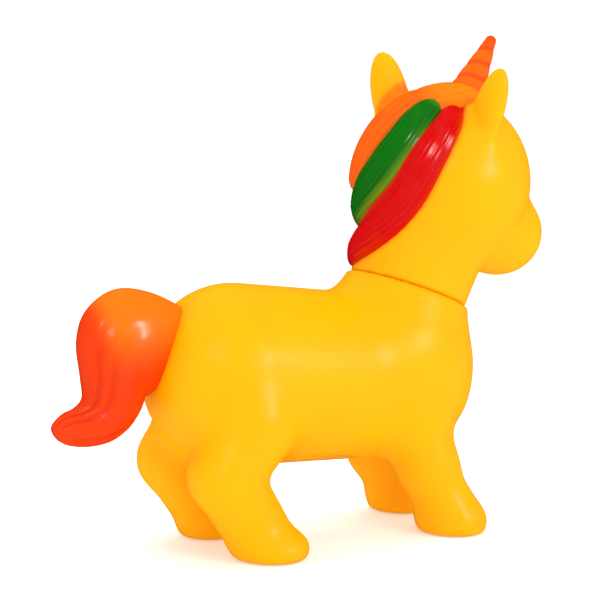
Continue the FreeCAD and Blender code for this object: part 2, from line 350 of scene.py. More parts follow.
class Signal:
    """A shader socket that can be used in sums; each operator adds one Math node."""

    def __init__(self, bench: "Bench", socket: bpy.types.NodeSocket) -> None:
        """Wrap one output socket of a node on that bench."""
        self.bench = bench
        self.socket = socket

    def _math(self, operation: str, first: Any, second: Any) -> "Signal":
        """Add a Math node for an operation on two values."""
        return self.bench.node("ShaderNodeMath", {"operation": operation}, [first, second])

    def __add__(self, other: Any) -> "Signal":
        """Return self + other."""
        return self._math("ADD", self, other)

    __radd__ = __add__

    def __mul__(self, other: Any) -> "Signal":
        """Return self * other."""
        return self._math("MULTIPLY", self, other)

    __rmul__ = __mul__

    def __sub__(self, other: Any) -> "Signal":
        """Return self - other."""
        return self._math("SUBTRACT", self, other)

    def __rsub__(self, other: Any) -> "Signal":
        """Return other - self."""
        return self._math("SUBTRACT", other, self)

    def __pow__(self, other: Any) -> "Signal":
        """Return self ** other."""
        return self._math("POWER", self, other)

    def __abs__(self) -> "Signal":
        """Return the size of self without its sign."""
        return self._math("ABSOLUTE", self, 0.0)

    def between(self, low: float, high: float) -> "Signal":
        """Return a smooth rise from 0 at low to 1 at high."""
        return self.bench.node("ShaderNodeMapRange", {"interpolation_type": "SMOOTHSTEP"},
                               {"Value": self, "From Min": low, "From Max": high})


class Bench:
    """The nodes of one material."""

    def __init__(self, name: str) -> None:
        """Start an empty material of that name."""
        self.material = bpy.data.materials.new(name)
        self.material.use_nodes = True
        self.tree = self.material.node_tree
        self.tree.nodes.clear()

    def node(self, kind: str, settings: dict[str, Any] | None = None, inputs: Any = None,
             output: int | str = 0) -> "Signal | None":
        """Add one node.

        Args:
            kind: Its type name.
            settings: Properties to set before its sockets are filled.
            inputs: Values or Signals, by socket name or as a list in socket order.
            output: Which output to return.

        Returns:
            That output, or None for a node that has none.
        """
        made = self.tree.nodes.new(kind)
        for key, value in (settings or {}).items():
            setattr(made, key, value)
        pairs = inputs.items() if isinstance(inputs, dict) else enumerate(inputs or [])
        for key, value in pairs:
            if isinstance(value, Signal):
                self.tree.links.new(value.socket, made.inputs[key])
            else:
                made.inputs[key].default_value = value
        return Signal(self, made.outputs[output]) if len(made.outputs) else None

    def trait(self, name: str) -> Signal:
        """Read a number that the mesh stores at each of its points."""
        return self.node("ShaderNodeAttribute", {"attribute_name": name}, output="Fac")

    def place(self) -> Signal:
        """Read the point's place in the part's frame, in metres."""
        return self.node("ShaderNodeTexCoord", output="Object")

    def noise(self, size: float, detail: float = 2.0, roughness: float = 0.5) -> Signal:
        """Add cloudy noise with features of about that size, in millimetres."""
        return self.node("ShaderNodeTexNoise", {}, {"Vector": self.place(), "Scale": 1 / (size * METRES),
                                                   "Detail": detail, "Roughness": roughness})

    def blend(self, share: Any, first: Any, second: Any) -> Signal:
        """Mix two colours, first at share 0 and second at share 1."""
        return self.node("ShaderNodeMix", {"data_type": "RGBA"}, {"Factor": share, 6: first, 7: second}, 2)

    def bump(self, strength: float, distance: float, height: Signal) -> Signal:
        """Bend the normal as a height would, which is at most that distance in metres."""
        return self.node("ShaderNodeBump", {}, {"Strength": strength, "Distance": distance, "Height": height})

    def finish(self, color: Any, roughness: Any, normal: Signal | None = None, **fixed: float) -> Material:
        """Close the material with one Principled shader.

        The numbers in fixed are for other sockets, with the spaces in their names as underscores.
        """
        inputs: dict[str, Any] = {"Base Color": color, "Roughness": roughness}
        if normal is not None:
            inputs["Normal"] = normal
        inputs.update({key.replace("_", " "): value for key, value in fixed.items()})
        shader = self.node("ShaderNodeBsdfPrincipled", {}, inputs)
        self.node("ShaderNodeOutputMaterial", {}, {"Surface": shader})
        return self.material


class Paint(Enum):
    """Colours of the vinyl and its sprayed paints, as linear red, green, blue and alpha."""

    YELLOW = (0.93, 0.42, 0.0, 1.0)
    DEEP_YELLOW = (0.92, 0.365, 0.0, 1.0)
    AMBER = (0.86, 0.165, 0.001, 1.0)
    LIGHT_ORANGE = (0.93, 0.22, 0.001, 1.0)
    HORN_ORANGE = (0.88, 0.12, 0.001, 1.0)
    ORANGE = (0.88, 0.115, 0.001, 1.0)
    FLAME = (0.76, 0.041, 0.001, 1.0)
    RED_ORANGE = (0.66, 0.026, 0.0, 1.0)
    RED = (0.60, 0.0, 0.0, 1.0)
    DARK_RED = (0.34, 0.0, 0.0, 1.0)
    GREEN = (0.004, 0.15, 0.004, 1.0)
    DARK_GREEN = (0.0, 0.04, 0.001, 1.0)
    LEAF = (0.17, 0.31, 0.008, 1.0)
    BROWN = (0.09, 0.05, 0.0, 1.0)
    BLACK = (0.008, 0.006, 0.006, 1.0)
    WHITE = (0.9, 0.9, 0.88, 1.0)


@dataclass(frozen=True)
class Vinyl:
    """Glossy soft vinyl in its moulded colour, with paint that has drifted onto it past the sprayed parts."""

    name: str = "yellow_vinyl"
    gloss: float = 0.36
    ripple: float = 0.10

    def material(self) -> Material:
        """Build the finish."""
        bench = Bench(self.name)
        cloud = bench.noise(24.0, 1.0)
        color = bench.blend(cloud.between(0.35, 0.75) * 0.30, Paint.YELLOW.value, Paint.DEEP_YELLOW.value)
        speck = bench.noise(0.55, 3.0, 0.7)
        # The drift trait is paint drifted past the sprayed parts; round the tail it also carries a wider faint
        # orange deepening of the rump.
        drift = bench.trait("drift") * (0.75 + speck * 0.5)
        color = bench.blend(drift.between(0.10, 0.95), color, Paint.LIGHT_ORANGE.value)
        heavy = bench.trait("drift_red") * (0.7 + speck * 0.6)
        color = bench.blend(heavy.between(0.15, 1.0), color, Paint.RED.value)
        rough = self.gloss + (bench.noise(9.0, 3.0) - 0.5) * 0.14
        height = bench.noise(16.0, 1.0) * 0.8 + bench.noise(1.1, 2.0) * 0.03
        bump = bench.bump(self.ripple, 0.002, height)
        return bench.finish(color, rough, bump, Subsurface_Weight=0.10, Subsurface_Scale=0.002,
                            Specular_IOR_Level=0.09)


@dataclass(frozen=True)
class Sprayed:
    """Glossy sprayed paint on hair-like ridges, with painted shade darkening the grooves."""

    name: str
    main: Paint
    groove_shade: Paint
    light: Paint
    tip: Paint
    tip_from: float = 0.85
    gloss: float = 0.30
    shine: float = 0.12

    def material(self) -> Material:
        """Build the finish."""
        bench = Bench(self.name)
        speck = bench.noise(0.6, 3.0, 0.7)
        groove = bench.trait("groove")
        # Painted shade: the deeper a point lies in a groove, the more it is blended towards the groove shade
        # colour.
        color = bench.blend(groove.between(0.15, 0.95) * 0.65, self.main.value, self.groove_shade.value)
        # The pale trait is paint drifted over a lock's edge, and on the tail a painted highlight on its upper
        # part.
        pale = bench.trait("pale") * (0.8 + speck * 0.4)
        color = bench.blend(pale.between(0.08, 0.9), color, self.light.value)
        along = bench.trait("along") + (bench.noise(6.0, 2.0) - 0.5) * 0.12
        color = bench.blend(along.between(self.tip_from, 1.0) * 0.8, color, self.tip.value)
        rough = self.gloss + (bench.noise(5.0, 1.0) - 0.5) * 0.16
        height = bench.noise(4.0, 1.0) * 0.6
        bump = bench.bump(0.14, 0.001, height)
        return bench.finish(color, rough, bump, Specular_IOR_Level=self.shine)


@dataclass(frozen=True)
class PrintedEye:
    """A printed black eye with a brown lower glow and two white glints."""

    name: str = "eye_print"

    def material(self) -> Material:
        """Build the finish."""
        bench = Bench(self.name)
        across, up = bench.trait("eye_across"), bench.trait("eye_up")
        glow = (0.0 - up).between(0.1, 0.9) * (1.0 - abs(across).between(0.45, 0.85))
        color = bench.blend(glow * 0.6, Paint.BLACK.value, (0.16, 0.045, 0.008, 1.0))
        for x, z, size in ((0.28, 0.42, 0.26), (-0.30, -0.38, 0.13)):
            reach = ((across - x) ** 2.0 + (up - z) ** 2.0 * 0.8) ** 0.5
            color = bench.blend(1.0 - reach.between(size * 0.85, size), color, Paint.WHITE.value)
        rough = 0.16 + bench.noise(2.0, 2.0) * 0.06
        return bench.finish(color, rough, None, Specular_IOR_Level=0.5)


@dataclass(frozen=True)
class StopperPlastic:
    """Satin moulded plastic with a fine grain and a faint cloudy tone."""

    name: str = "stopper_plastic"

    def material(self) -> Material:
        """Build the finish."""
        bench = Bench(self.name)
        grain = bench.noise(0.35, 3.0, 0.6)
        color = bench.blend(bench.noise(5.0, 2.0).between(0.3, 0.8) * 0.4, (0.86, 0.36, 0.0, 1.0),
                            (0.80, 0.30, 0.0, 1.0))
        bump = bench.bump(0.12, 0.0004, grain)
        return bench.finish(color, 0.42 + grain * 0.12, bump, Specular_IOR_Level=0.4)


# ---- putting a piece in the scene ----------------------------------------------------------------------------


def linked(name: str, data: bpy.types.ID) -> Object:
    """Make an object of that data in the scene."""
    made = bpy.data.objects.new(name, data)
    bpy.context.scene.collection.objects.link(made)
    return made


def mesh_of(name: str, points: Sequence[Any], faces: Sequence[Any], material: Material) -> bpy.types.Mesh:
    """Make a smooth mesh of one finish from points in metres."""
    mesh = bpy.data.meshes.new(name)
    mesh.from_pydata(points, [], faces)
    mesh.update()
    mesh.shade_smooth()
    mesh.materials.append(material)
    return mesh


def add_piece(name: str, body: str, replaces: Sequence[str], skin: Skin,
              material: Material, traits: dict[str, Array] | None = None) -> Object:
    """Make one piece from a skin and set it on its CAD body.

    Args:
        name: The piece's name.
        body: The CAD body that it rides on.
        replaces: CAD nodes that it stands for.
        skin: Its mesh in the animal's frame, in millimetres, on a head that looks straight ahead.
        material: Its finish.
        traits: Numbers stored at each point, by name.

    Returns:
        The object.
    """
    points = turned(skin.points) if body == "head" else skin.points
    mesh = mesh_of(name, in_frame(points).tolist(), skin.faces, material)
    for key, values in (traits or {}).items():
        mesh.attributes.new(key, "FLOAT", "POINT").data.foreach_set("value", values.astype(np.float32))
    piece = linked(name, mesh)
    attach(piece, body)
    if replaces:
        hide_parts(*replaces)
    LOG.info("%s: %d points, %d faces on %s", name, len(skin.points), len(skin.faces), body)
    return piece


# ---- body ----------------------------------------------------------------------------------------------------


@dataclass(frozen=True)
class Leg:
    """One leg of a pair, on the animal's left: balls down the leg and a foot cut flat at the ground."""

    joints: tuple[Triple, ...]
    radii: tuple[float, ...]
    foot: Triple
    foot_radii: Triple
    knee_web: float = 4.0
    ankle_web: float = 7.0

    def field(self) -> Field:
        """Return the leg as a solid."""
        limb = None
        for a, b, ra, rb in zip(self.joints, self.joints[1:], self.radii, self.radii[1:]):
            part = tapered(a, b, ra, rb)
            limb = part if limb is None else limb.melted(part, self.knee_web)
        return limb.melted(ellipsoid(self.foot, self.foot_radii), self.ankle_web)


@dataclass(frozen=True)
class Tail:
    """The tail: ribs from the rump to the tip, each with its inner and outer edge in the middle plane."""

    ribs: tuple[tuple[float, ...], ...] = (
        (-67.0, 64.0, -61.5, 88.5, 7.0), (-76.0, 60.5, -76.5, 95.8, 10.5), (-78.7, 59.0, -90.0, 97.6, 12.0),
        (-80.0, 58.4, -100.6, 91.0, 12.0), (-80.8, 56.2, -104.4, 80.5, 11.5), (-82.5, 53.0, -103.2, 67.5, 10.5),
        (-86.5, 48.0, -102.8, 60.2, 9.0), (-93.0, 44.0, -106.2, 56.8, 7.7), (-101.0, 42.8, -110.5, 55.3, 6.2),
        (-108.5, 43.8, -113.8, 52.8, 4.6), (-112.8, 46.0, -115.0, 50.4, 2.6))
    furrows: tuple[float, ...] = (0.62, 1.08, 2.3)
    furrow_width: float = 0.13
    furrow_depth: float = 0.8
    rows: int = 110
    around: int = 72

    def rings(self) -> tuple[Array, Array, Array]:
        """Return the tail's rings, with how far along and how deep in a groove each point is."""
        ribs = smooth_path(np.array(self.ribs), self.rows)
        share = np.linspace(0, 1, self.rows)[:, None]
        low = np.stack([ribs[:, 0], 0 * ribs[:, 0], ribs[:, 1]], -1)
        high = np.stack([ribs[:, 2], 0 * ribs[:, 2], ribs[:, 3]], -1)
        angle = ring_angles(self.around)
        close = np.sqrt(np.clip(1 - smoothstep(0.985, 1.0, share) ** 2, 0.01, 1))
        fade = smoothstep(0.10, 0.35, share) * (1 - smoothstep(0.86, 0.98, share))
        valley = np.zeros((self.rows, self.around))
        for furrow in self.furrows:
            apart = np.abs(np.abs(np.angle(np.exp(1j * angle))) - furrow - 0.25 * np.sin(5.0 * share))
            valley = np.maximum(valley, np.exp(-(apart / self.furrow_width) ** 2))
        inset = self.furrow_depth * valley * fade
        middle, half = (low + high) / 2, (high - low) / 2
        reach = np.linalg.norm(half, axis=-1, keepdims=True)
        along_half = (half / reach)[:, None, :]
        radius_u = (reach * close - inset)[..., None]
        radius_v = (ribs[:, 4:5] * close - inset)[..., None]
        side = np.array((0.0, 1.0, 0.0))
        out = middle[:, None, :] + along_half * radius_u * np.cos(angle)[..., None]
        out = out + side * radius_v * np.sin(angle)[..., None]
        return out, np.broadcast_to(share, valley.shape), valley * fade

    def dress(self) -> Object:
        """Build the tail and its finish."""
        rings, along, valley = self.rings()
        rings, along, valley = rings[:, ::-1], along[:, ::-1], valley[:, ::-1]
        # Painted highlight: the upper part of the tail near its root goes to the paler amber, as if lit from
        # above. The groove trait darkens its furrows as painted shade.
        sunlit = smoothstep(58.0, 98.0, rings[..., 2]) * smoothstep(-106.0, -92.0, rings[..., 0])
        finish = Sprayed("tail_paint", Paint.FLAME, Paint.RED_ORANGE, Paint.AMBER, Paint.FLAME, 0.6, 0.26, 0.16)
        return add_piece("tail_plume", "body", ["tail"], ringed(rings), finish.material(),
                         {"along": with_tips(along), "groove": with_tips(valley), "pale": with_tips(sunlit)})


@dataclass(frozen=True)
class Body:
    """Torso, neck collar and four legs in one hollow moulding, with the seat of the belly stopper."""

    rump: Triple = (-44.0, 0.0, 64.0)
    rump_r: float = 33.5
    chest: Triple = (28.0, 0.0, 58.0)
    chest_r: float = 31.0
    flatness: float = 0.9
    collar_r: float = 29.3
    collar_top_r: float = 22.4
    collar_web: float = 8.0
    leg_web: float = 7.5
    wall: float = 2.5
    seam_gap: float = 0.1
    seam_round: float = 0.9
    sole_round: float = 1.6
    inner_round: float = 0.6
    neck_hole_r: float = 14.1
    hole_x: float = -7.0
    hole_r: float = 9.0
    recess_r: float = 12.4
    seat_z: float = 33.0
    seat_h: float = 4.5
    grid: float = 1.36
    fore_left: Leg = Leg(((24.5, 15.5, 46.0), (32.5, 18.0, 26.0), (40.5, 20.5, 13.5)), (13.0, 11.5, 10.8),
                         (46.0, 21.0, 4.0), (13.0, 14.6, 10.5))
    fore_right: Leg = Leg(((26.0, 15.5, 46.0), (31.0, 18.0, 26.0), (36.0, 20.5, 13.5)), (13.0, 11.5, 10.8),
                          (40.5, 21.0, 4.0), (13.0, 14.6, 10.5))
    hind: Leg = Leg(((-46.0, 17.5, 48.0), (-57.8, 20.0, 31.0), (-46.0, 19.0, 12.5)), (16.5, 12.6, 12.0),
                    (-39.5, 22.0, 3.5), (13.0, 14.0, 8.2))

    def outside(self) -> Field:
        """Return the moulding's outer form, before the neck and the soles are cut."""
        torso = tapered(self.rump, self.chest, self.rump_r, self.chest_r).flattened(self.flatness, 1)
        collar = tapered(NECK - NECK_AXIS * 22, NECK + NECK_AXIS * 4, self.collar_r, self.collar_top_r)
        form = torso.melted(collar, self.collar_web)
        for leg, side in ((self.fore_left, 1), (self.fore_right, -1), (self.hind, 1), (self.hind, -1)):
            form = form.melted(leg.field().mirrored(side), self.leg_web)
        return form

    def belly(self, radius: float, low: float, high: float) -> Field:
        """Return an upright rod on the filling hole's axis."""
        return rod((self.hole_x, 0, low), (self.hole_x, 0, high), radius)

    def field(self) -> Field:
        """Return the hollow moulding."""
        top = NECK - NECK_AXIS * self.seam_gap / 2
        ground = below((0, 0, 0), (0, 0, -1))
        solid = self.outside().kept(below(top, NECK_AXIS), self.seam_round).kept(ground, self.sole_round)
        ring = self.belly(self.recess_r + self.wall, 0.0, self.seat_z + self.seat_h)
        shell = solid.carved(solid.inset(self.wall).carved(ring, self.inner_round), self.inner_round)
        shell = shell.carved(rod(NECK - NECK_AXIS * 20, NECK + NECK_AXIS * 5, self.neck_hole_r), 0.5)
        shell = shell.carved(self.belly(self.recess_r, 0.0, self.seat_z), 0.8)
        return shell.carved(self.belly(self.hole_r, self.seat_z - 1, self.seat_z + self.seat_h + 4), 0.5)

    def dress(self, finish: Material, tail: Tail) -> Object:
        """Build the moulding, with paint drifted from the tail round its root and a wider faint orange
        deepening of the rump round it.
        """
        skin = skin_of(self.field(), (-80, -40, -2), (64, 40, 103), self.grid)
        ribs = smooth_path(np.array(tail.ribs), 24)[:, :4]
        middle = np.stack([ribs[:, 0] + ribs[:, 2], 0 * ribs[:, 0], ribs[:, 1] + ribs[:, 3]], -1) / 2
        reach = np.hypot(ribs[:, 2] - ribs[:, 0], ribs[:, 3] - ribs[:, 1]) / 2
        gap = np.full(len(skin.points), 1e9)
        for spot, half in zip(middle, reach):
            gap = np.minimum(gap, np.linalg.norm((skin.points - spot) * (1, 1.5, 1), axis=1) - half)
        # A narrow band of paint drifted past the tail's root, and a wider faint band that deepens the rump
        # towards orange up to 18 mm from the tail.
        drift = np.maximum((1 - smoothstep(-1.0, 2.5, gap)) * 0.4, (1 - smoothstep(0.0, 18.0, gap)) * 0.25)
        return add_piece("body_moulding", "body", ["body_shell"], skin, finish,
                         {"drift": drift, "drift_red": 0 * drift})


@dataclass(frozen=True)
class Stopper:
    """The cup-shaped plug of the filling hole; its flange follows the belly and has two finger scoops."""

    body: Body
    fit: float = 0.08
    gap: float = 0.3
    flange_r: float = 12.0
    depth: float = 6.0
    wall: float = 2.0
    scoop: Triple = (4.6, 0.0, 28.9)
    scoop_r: Triple = (3.3, 6.0, 2.4)

    def field(self) -> Field:
        """Return the plug as a solid."""
        seat = self.body.seat_z - self.gap
        plug_r = self.body.hole_r - self.fit
        flange = self.body.belly(self.flange_r, 0.0, seat).kept(self.body.outside(), 0.8)
        plug = self.body.belly(plug_r, seat - 1, seat + self.depth)
        cup = self.body.belly(plug_r - self.wall, seat, seat + self.depth + 2)
        whole = flange.melted(plug, 0.6).carved(cup, 0.6)
        for side in (1, -1):
            middle = (self.body.hole_x + side * self.scoop[0], self.scoop[1], self.scoop[2])
            whole = whole.carved(ellipsoid(middle, self.scoop_r), 0.7)
        return whole

    def dress(self) -> Object:
        """Build the plug."""
        x, r = self.body.hole_x, self.flange_r + 1
        skin = skin_of(self.field(), (x - r, -r, 26.5), (x + r, r, 41.0), 0.58)
        return add_piece("belly_plug", "stopper", ["belly_stopper"], skin,
                         StopperPlastic().material())


# ---- head ----------------------------------------------------------------------------------------------------


@dataclass(frozen=True)
class Ear:
    """A leaf-shaped ear, hollowed in front, on the animal's left."""

    root: Triple = (-8.0, 20.0, 22.0)
    tip: Triple = (-10.5, 27.8, 47.0)
    half_width: float = 7.4
    flatness: float = 0.62
    toe_out: float = 20.0
    rim_round: float = 1.2

    def field(self, skull: Array) -> Field:
        """Return the ear as a solid on a head whose skull is centred there."""
        root, tip = skull + self.root, skull + self.tip
        up = unit(tip - root)
        length = float(np.linalg.norm(tip - root))
        facing = math.radians(self.toe_out)
        ahead = np.array((math.cos(facing), math.sin(facing), 0.0))
        ahead = unit(ahead - up * (ahead @ up))
        axes = np.stack([ahead, np.cross(up, ahead), up], 1)
        w = self.half_width
        leaf = ellipsoid((0, 0, 0.30 * length), (w, w, 0.70 * length))
        hollow = ellipsoid((0.62 * w, 0, 0.48 * length), (0.42 * w, 0.58 * w, 0.36 * length))
        cupped = leaf.flattened(self.flatness, 0).carved(hollow, self.rim_round)
        return Field(lambda points: cupped((points - root) @ axes))


@dataclass(frozen=True)
class Head:
    """Skull, cheeks, muzzle, ears and neck in one hollow moulding, shaped looking straight ahead."""

    skull: Triple = (50.5, 0.0, 132.5)
    skull_r: Triple = (32.5, 34.5, 35.0)
    cheek: Triple = (20.0, 14.0, -18.5)
    cheek_r: Triple = (16.5, 19.0, 17.5)
    cheek_web: float = 6.0
    muzzle: Triple = (34.0, 0.0, -22.0)
    muzzle_r: Triple = (15.5, 14.5, 15.0)
    muzzle_web: float = 7.0
    neck_r: float = 22.2
    neck_top_r: float = 25.0
    neck_web: float = 5.0
    plug_r: float = 14.0
    plug_flange_r: float = 17.0
    wall: float = 2.5
    seam_gap: float = 0.1
    seam_round: float = 0.9
    grid: float = 1.27
    ear: Ear = Ear()
    nostril: Triple = (45.6, 5.0, -15.5)
    nostril_r: float = 1.9
    nostril_round: float = 1.6
    ear_web: float = 4.5
    inner_round: float = 0.6

    @property
    def centre(self) -> Array:
        """The skull's centre."""
        return np.array(self.skull)

    def spot(self, offset: Triple, side: int = 1) -> Array:
        """Return the point at an offset from the skull's centre, mirrored for side -1."""
        return self.centre + np.array(offset) * (1, side, 1)

    def bare(self) -> Field:
        """Return the head's outer form without its ears, which the mane locks lie on."""
        form = ellipsoid(self.skull, self.skull_r)
        neck = tapered(NECK - NECK_AXIS * 8, NECK + NECK_AXIS * 26, self.neck_r, self.neck_top_r)
        form = form.melted(neck, self.neck_web)
        for side in (1, -1):
            form = form.melted(ellipsoid(self.spot(self.cheek, side), self.cheek_r), self.cheek_web)
        return form.melted(ellipsoid(self.spot(self.muzzle), self.muzzle_r), self.muzzle_web)

    def field(self) -> Field:
        """Return the hollow moulding with its ears and its flanged neck plug."""
        bottom = NECK + NECK_AXIS * self.seam_gap / 2
        form = self.bare()
        ear = self.ear.field(self.centre)
        for side in (1, -1):
            pit = ellipsoid(self.spot(self.nostril, side), (self.nostril_r,) * 3)
            form = form.carved(pit, self.nostril_round)
        core = form.kept(below(bottom, -NECK_AXIS), self.seam_round)
        shell = core
        for side in (1, -1):
            shell = shell.melted(ear.mirrored(side), self.ear_web)
        shell = shell.carved(core.inset(self.wall), self.inner_round)

        def at(height: float) -> Array:
            return NECK + NECK_AXIS * height
        top = -0.45 - self.wall
        shell = shell.melted(rod(at(top - 2.5), at(self.wall), self.plug_r), 0.8)
        shell = shell.melted(rod(at(top - 2.5), at(top), self.plug_flange_r), 0.6)
        return shell.carved(rod(at(-20), at(2 * self.wall), self.plug_r - self.wall), 0.5)

    def dress(self, finish: Material, locks: "Mane") -> Object:
        """Build the moulding, with paint drifted from the mane onto it."""
        skin = skin_of(self.field(), (8, -45, 76), (106, 45, 184), self.grid)
        drift, drift_red = locks.drift(skin.points)
        return add_piece("head_moulding", "head", ["head_shell", "ear_left", "ear_right"], skin,
                         finish, {"drift": drift, "drift_red": drift_red})


@dataclass(frozen=True)
class Lock:
    """One mane lock that lies on the head: a spine of offsets from the skull's centre with half widths."""

    name: str
    node: str
    slot: str
    finish: Sprayed
    spine: tuple[tuple[Triple, float], ...]
    height: float = 3.4
    ridges: int = 5
    ridge_height: float = 0.45
    end_reach: float = 0.10
    pale_edge: float = 0.0       # paint drifted over the left edge, or the right one if negative
    pale_start: float = 0.0
    rows: int = 72
    across: int = 40
    depth: float = 1.4

    def path(self) -> Array:
        """Return offsets and half widths evenly along the lock."""
        return smooth_path(np.array([(*offset, half) for offset, half in self.spine]), self.rows)

    def skin(self, head: Head, bare: Field) -> tuple[Skin, dict[str, Array]]:
        """Lay the lock on the head's outer form without ears, and return its skin and its traits."""
        path = self.path()
        spine = bare.drape(head.centre + path[:, :3])
        _, sideways = along_surface(bare, spine)
        share = np.linspace(0, 1, self.rows)
        ends = rounded_ends(share, self.end_reach)
        width = path[:, 3] * ends
        top = np.linspace(-1, 1, self.across)
        under = np.linspace(0.94, -0.94, self.across // 2)
        t = np.concatenate([np.sin(top * math.pi / 2), under])[None, :]
        on_top = np.concatenate([np.ones(self.across), np.zeros(self.across // 2)])[None, :]
        foot = spine[:, None, :] + sideways[:, None, :] * (width[:, None] * t)[..., None]
        foot = smoothed_rows(bare.drape(foot))
        dome = np.clip(1 - np.abs(t) ** 2.4, 0, 1) ** 0.6
        size = (np.minimum(1.0, path[:, 3] / 6.0) * ends)[:, None]
        sway = 0.35 * np.sin(5 * share[:, None]) + 0.55 * np.sin(2.2 * t + 1.0)
        wave = 0.5 + 0.5 * np.cos(math.pi * (self.ridges * t + sway))
        crest = 1 - (1 - wave) ** 2.0 * (0.35 + 0.65 * np.abs(t))
        body = np.clip(1 - t * t, 0, 1) ** 0.4
        lift = size * (self.height * dome - self.ridge_height * (1 - crest) * body)
        offset = np.where(on_top > 0, lift + 0.1, -self.depth * size)
        normal = smoothed_rows(bare.slope(foot))
        normal /= np.linalg.norm(normal, axis=-1, keepdims=True)
        rings = foot + normal * offset[..., None]
        along = np.broadcast_to(share[:, None], lift.shape)
        side = math.copysign(1.0, self.pale_edge)
        pale = abs(self.pale_edge) * smoothstep(0.30, 0.95, side * t) * smoothstep(0.05, 0.5, along)
        pale = np.maximum(pale, self.pale_start * (1 - smoothstep(0.0, 0.18, along)))
        # The groove trait darkens the lock's grooves as painted shade in its finish.
        traits = {"along": along, "groove": (1 - crest) * body, "pale": np.broadcast_to(pale, lift.shape)}
        return ringed(rings), {key: with_tips(value) for key, value in traits.items()}

    def dress(self, head: Head, bare: Field) -> Object:
        """Build the lock."""
        skin, traits = self.skin(head, bare)
        return add_piece(self.name, "head", [self.node], skin, self.finish.material(), traits)


@dataclass(frozen=True)
class Mane:
    """The sprayed locks of the mane and the forelock at the horn's foot."""

    forelock: Lock = Lock(
        "forelock_tuft", "forelock", "orange_paint",
        Sprayed("forelock_paint", Paint.LIGHT_ORANGE, Paint.ORANGE, Paint.LIGHT_ORANGE, Paint.ORANGE, 0.5),
        (((12.0, 0.5, 31.5), 3.5), ((5.0, -0.5, 35.3), 10.0), ((-4.0, -0.5, 36.8), 13.5),
         ((-11.0, 1.0, 33.8), 13.5), ((-16.0, 4.0, 29.5), 9.0)),
        height=3.4, ridges=5, ridge_height=0.45, end_reach=0.16)
    orange: Lock = Lock(
        "mane_lock_orange", "mane_orange_lock", "orange_paint",
        Sprayed("mane_orange_paint", Paint.ORANGE, Paint.RED_ORANGE, Paint.LIGHT_ORANGE, Paint.ORANGE, 0.8),
        (((-7.0, 8.0, 34.5), 8.0), ((-15.0, 11.0, 29.0), 10.0), ((-19.5, 16.8, 19.5), 11.2),
         ((-22.2, 21.3, 9.0), 10.7), ((-23.0, 25.4, 0.5), 7.8), ((-20.5, 28.5, -7.5), 2.8)),
        height=2.8, ridges=5, ridge_height=0.45, pale_start=0.5)
    green: Lock = Lock(
        "mane_lock_green", "mane_green_lock", "green_paint",
        Sprayed("mane_green_paint", Paint.GREEN, Paint.DARK_GREEN, Paint.LEAF, Paint.BROWN, 0.85, 0.20, 0.45),
        (((-11.5, -4.2, 32.4), 2.6), ((-20.8, -1.5, 25.0), 6.8), ((-26.5, 0.7, 15.5), 8.2),
         ((-29.3, 7.4, 3.5), 8.4), ((-28.9, 18.2, -8.7), 7.2), ((-24.5, 27.2, -21.0), 2.6)),
        height=4.0, ridges=7, ridge_height=0.7, pale_edge=-0.75, pale_start=0.8)
    red: Lock = Lock(
        "mane_lock_red", "mane_red_lock", "red_paint",
        Sprayed("mane_red_paint", Paint.RED, Paint.DARK_RED, Paint.RED_ORANGE, Paint.RED, 0.9, 0.20, 0.40),
        (((-12.5, -10.4, 30.5), 3.8), ((-20.5, -12.5, 23.5), 5.5), ((-28.2, -10.6, 12.0), 7.3),
         ((-32.2, -4.9, -3.0), 7.8), ((-33.2, 8.4, -19.0), 8.0), ((-27.5, 22.0, -34.8), 3.0)),
        height=4.4, ridges=7, ridge_height=0.7, pale_edge=0.6, pale_start=0.1)
    skull: Triple = Head.skull

    def locks(self) -> tuple[Lock, ...]:
        """Return the locks from the animal's left to its right."""
        return (self.forelock, self.orange, self.green, self.red)

    def gap_to(self, lock: Lock, points: Array) -> Array:
        """Return how far points of the straight head are from a lock's edge."""
        path = lock.path()
        gap = np.full(len(points), 1e9)
        for row in path[::3]:
            gap = np.minimum(gap, np.linalg.norm(points - (row[:3] + self.skull), axis=1) - row[3])
        return gap

    def drift(self, points: Array) -> tuple[Array, Array]:
        """Return the orange and the red paint drifted onto each point of the straight head."""
        orange = np.zeros(len(points))
        for lock in (self.forelock, self.orange, self.red):
            orange = np.maximum(orange, 1 - smoothstep(-1.0, 2.4, self.gap_to(lock, points)))
        red = 1 - smoothstep(-1.0, 0.8, self.gap_to(self.red, points))
        return orange, red

    def dress(self, head: Head) -> None:
        """Build every lock."""
        bare = head.bare()
        for lock in self.locks():
            lock.dress(head, bare)


